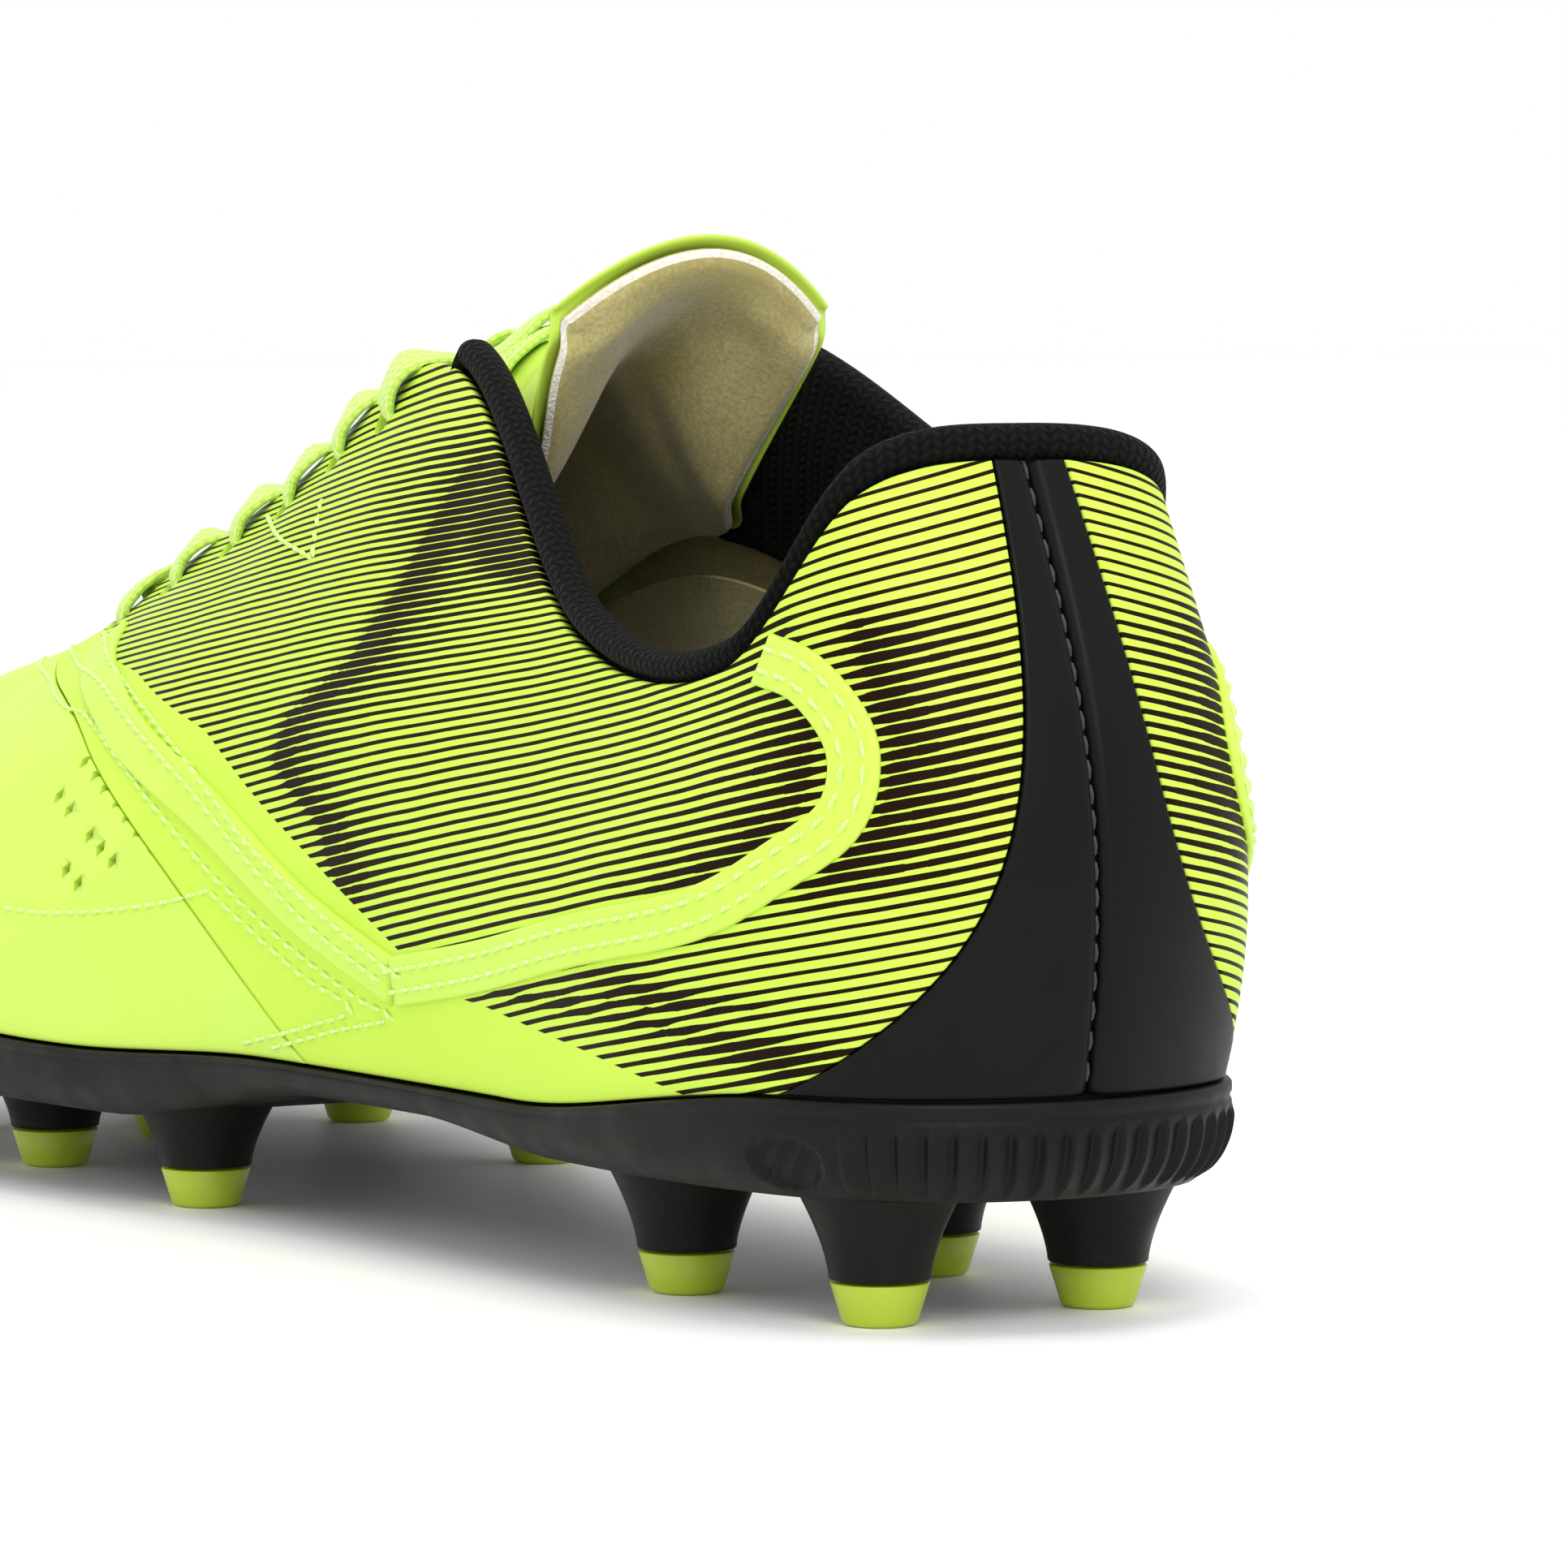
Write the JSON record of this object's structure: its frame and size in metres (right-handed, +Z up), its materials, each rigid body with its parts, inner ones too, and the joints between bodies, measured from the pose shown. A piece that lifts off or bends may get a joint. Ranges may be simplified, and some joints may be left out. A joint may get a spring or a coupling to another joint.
{
  "type": "soccer cleat",
  "caption": "Low-cut firm-ground soccer cleat with a laced coated upper, padded knit collar, folding tongue end and a moulded sole with tipped studs.",
  "frame": {"origin": "centre of the shoe's box, on the plane that the studs stand on", "axes": "+Z up, +Y from the toe to the heel, +X to the outer (lateral) side of a left shoe"},
  "size_m": [0.0906, 0.281, 0.1125],
  "materials": {
    "coated_upper": "coated synthetic leather, low sheen, fine grain, dark printed bands",
    "heel_panel": "dark coated synthetic with a sunk stitched seam",
    "sole_plastic": "moulded TPU, satin",
    "tip_plastic": "moulded TPU, satin",
    "collar_knit": "black knit lining with V stitches",
    "lining_cloth": "beige woven lining",
    "sockliner_cloth": "brushed knit over foam",
    "foam": "open-cell foam",
    "eyestay_tape": "woven reinforcing tape",
    "board": "non-woven fibre board",
    "lace_braid": "flat braided polyester"
  },
  "bodies": {
    "shoe_body": {"outsole_plate": "sole_plastic", "insole_board": "board", "sockliner": "sockliner_cloth", "vamp": "coated_upper", "lateral_quarter": "coated_upper", "medial_quarter": "coated_upper", "lateral_heel_panel": "heel_panel", "medial_heel_panel": "heel_panel", "lateral_overlay": "coated_upper", "medial_overlay": "coated_upper", "toe_puff": "board", "heel_counter": "board", "lateral_eyestay_reinforcement": "eyestay_tape", "medial_eyestay_reinforcement": "eyestay_tape", "vamp_lining": "lining_cloth", "lateral_quarter_lining": "lining_cloth", "medial_quarter_lining": "lining_cloth", "collar_foam": "foam", "collar_lining": "collar_knit", "collar_binding": "collar_knit", "tongue_face": "coated_upper", "tongue_padding": "lining_cloth", "lace": "lace_braid", "stud_tip_heel_outer_rear": "tip_plastic", "stud_tip_heel_outer_front": "tip_plastic", "stud_tip_heel_inner_rear": "tip_plastic", "stud_tip_heel_inner_front": "tip_plastic", "stud_tip_forefoot_outer_rear": "tip_plastic", "stud_tip_forefoot_outer_middle": "tip_plastic", "stud_tip_forefoot_outer_front": "tip_plastic", "stud_tip_forefoot_inner_rear": "tip_plastic", "stud_tip_forefoot_inner_middle": "tip_plastic", "stud_tip_forefoot_inner_front": "tip_plastic", "stud_tip_forefoot_centre": "tip_plastic"},
    "tongue_flap": {"tongue_flap_face": "coated_upper", "tongue_flap_padding": "lining_cloth"}
  },
  "joints": [
    {"name": "tongue_fold", "type": "hinge", "parent": "shoe_body", "child": "tongue_flap", "pos_m": [-0.00025, 0.04172, 0.1057], "axis": [1, 0, 0], "range_deg": [0, 75], "stiffness_Nm_per_rad": 0.02}
  ]
}
